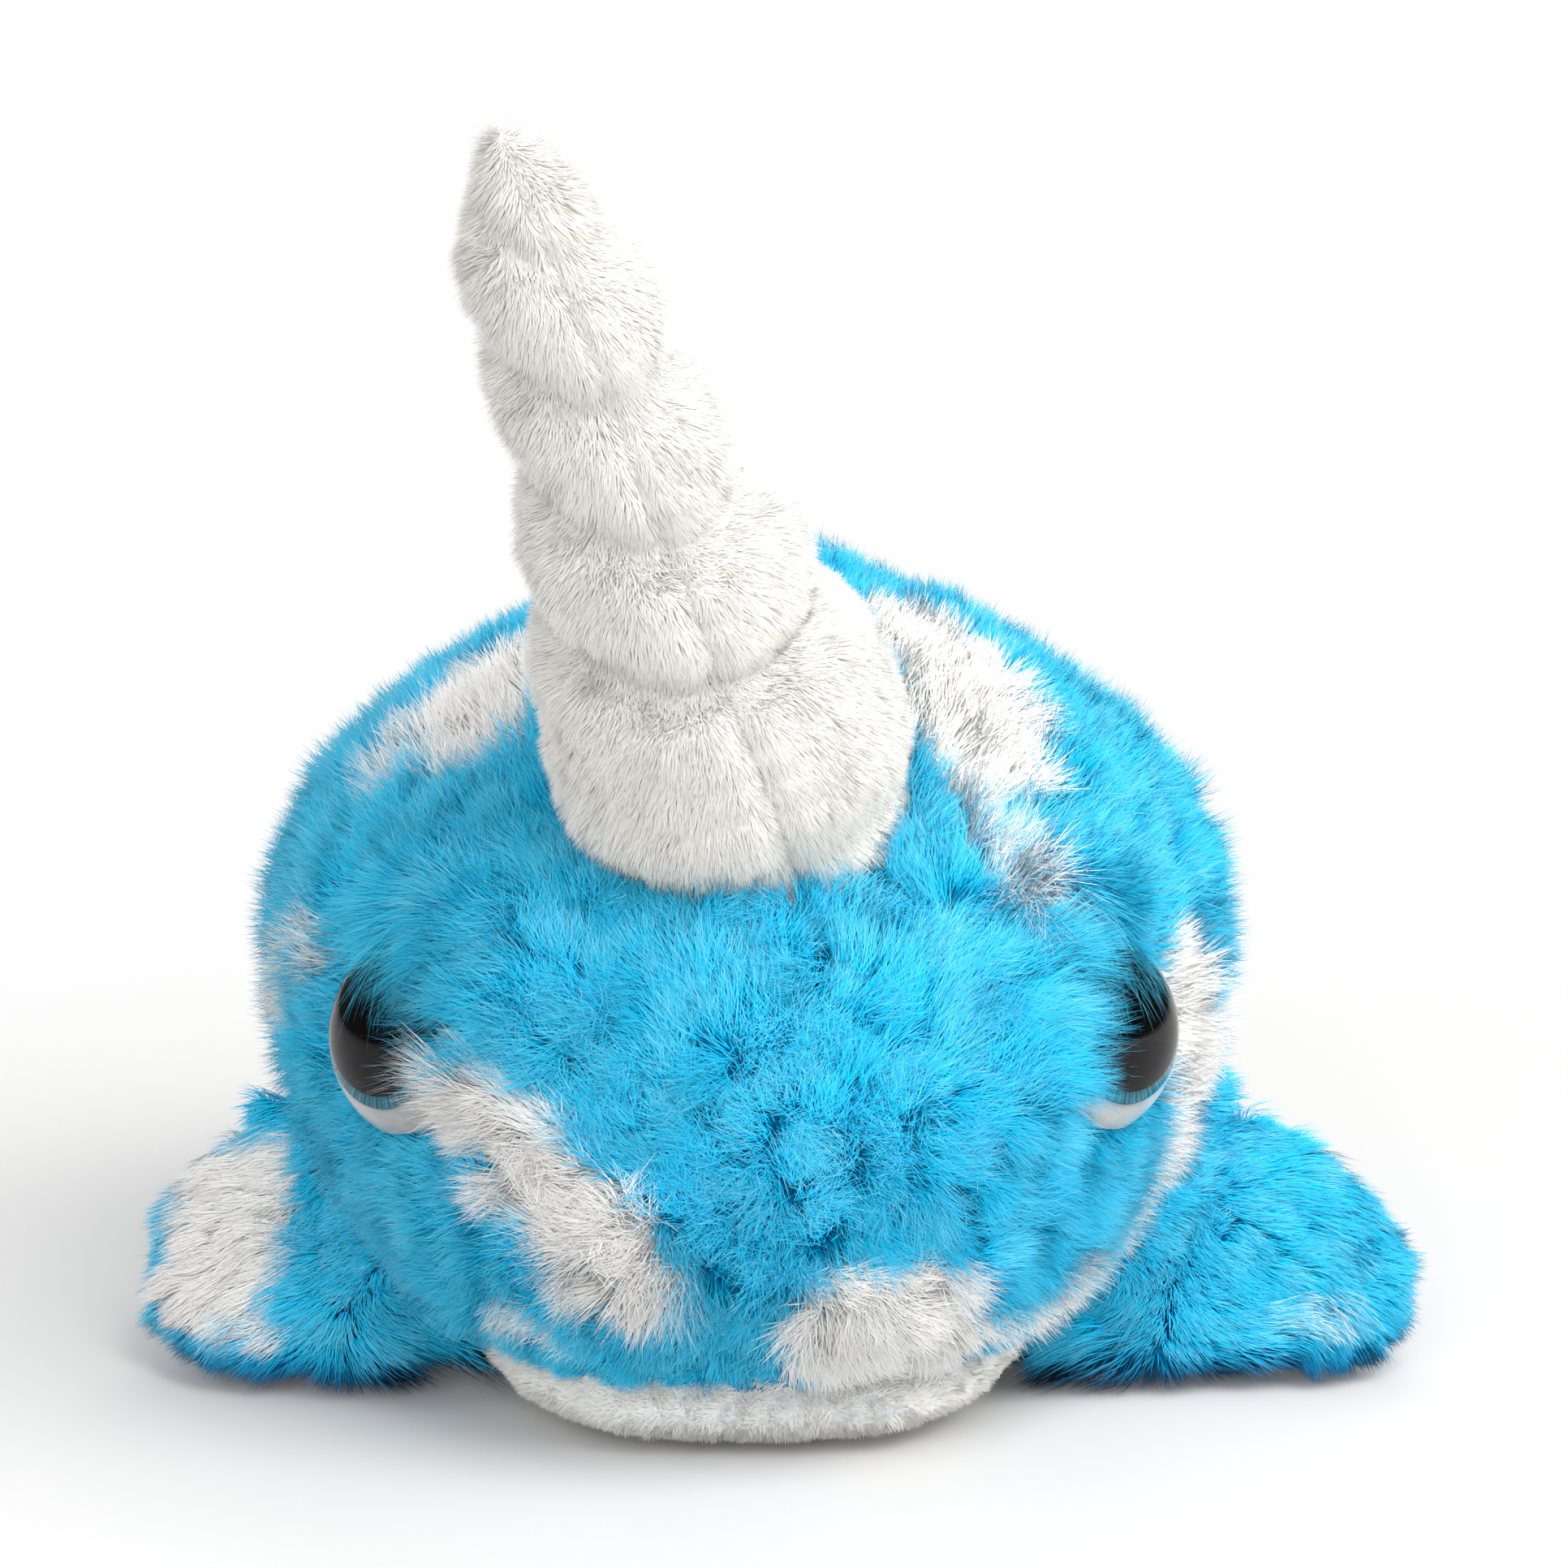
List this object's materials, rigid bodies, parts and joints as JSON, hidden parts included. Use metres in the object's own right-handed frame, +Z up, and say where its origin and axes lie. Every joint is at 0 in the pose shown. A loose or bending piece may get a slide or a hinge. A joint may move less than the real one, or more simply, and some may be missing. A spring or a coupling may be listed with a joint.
{
  "type": "plush narwhal",
  "caption": "Tie-dye blue and white plush narwhal lying on its belly, with a spirally cinched white tusk, domed side eyes, two flippers and tail flukes.",
  "frame": {"origin": "on the table plane at the flat rest of the belly, on the animal's middle plane, at the middle of the widest stretch between the flippers' roots", "axes": "+Z up from the table; the animal looks along -Y, its tail points along +Y; its left flipper is on +X"},
  "size_m": [0.1706, 0.225, 0.1664],
  "materials": {
    "fur": "matte",
    "minky": "matte",
    "stuffing": "matte",
    "thread": "satin",
    "eye_white": "gloss",
    "eye_iris": "gloss",
    "eye_pupil": "gloss",
    "eye_lens": "polished",
    "washer": "matte"
  },
  "bodies": {
    "body": {"body_side_left": "fur", "body_side_right": "fur", "belly_panel": "minky", "body_stuffing": "stuffing", "tusk_cover": "minky", "tusk_stuffing": "stuffing", "tusk_cinch_thread": "thread", "eye_white_left": "eye_white", "eye_iris_left": "eye_iris", "eye_pupil_left": "eye_pupil", "eye_lens_left": "eye_lens", "eye_washer_left": "washer", "eye_white_right": "eye_white", "eye_iris_right": "eye_iris", "eye_pupil_right": "eye_pupil", "eye_lens_right": "eye_lens", "eye_washer_right": "washer"},
    "flipper_left": {"flipper_upper_left": "fur", "flipper_lower_left": "fur", "flipper_stuffing_left": "stuffing"},
    "flipper_right": {"flipper_upper_right": "fur", "flipper_lower_right": "fur", "flipper_stuffing_right": "stuffing"},
    "flukes": {"fluke_upper": "fur", "fluke_lower": "fur", "fluke_stuffing": "stuffing"}
  },
  "joints": [
    {"name": "flipper_left_flap", "type": "hinge", "parent": "body", "child": "flipper_left", "pos_m": [0.05365, -0.005, 0.02], "axis": [-0.5387, -0.597, -0.5945], "range_deg": [0, 60]},
    {"name": "flipper_right_flap", "type": "hinge", "parent": "body", "child": "flipper_right", "pos_m": [-0.05365, -0.005, 0.02], "axis": [-0.5911, 0.6238, 0.5114], "range_deg": [0, 60]},
    {"name": "flukes_lift", "type": "hinge", "parent": "body", "child": "flukes", "pos_m": [0, 0.1211, 0.009], "axis": [1, 0, 0], "range_deg": [0, 50]}
  ]
}
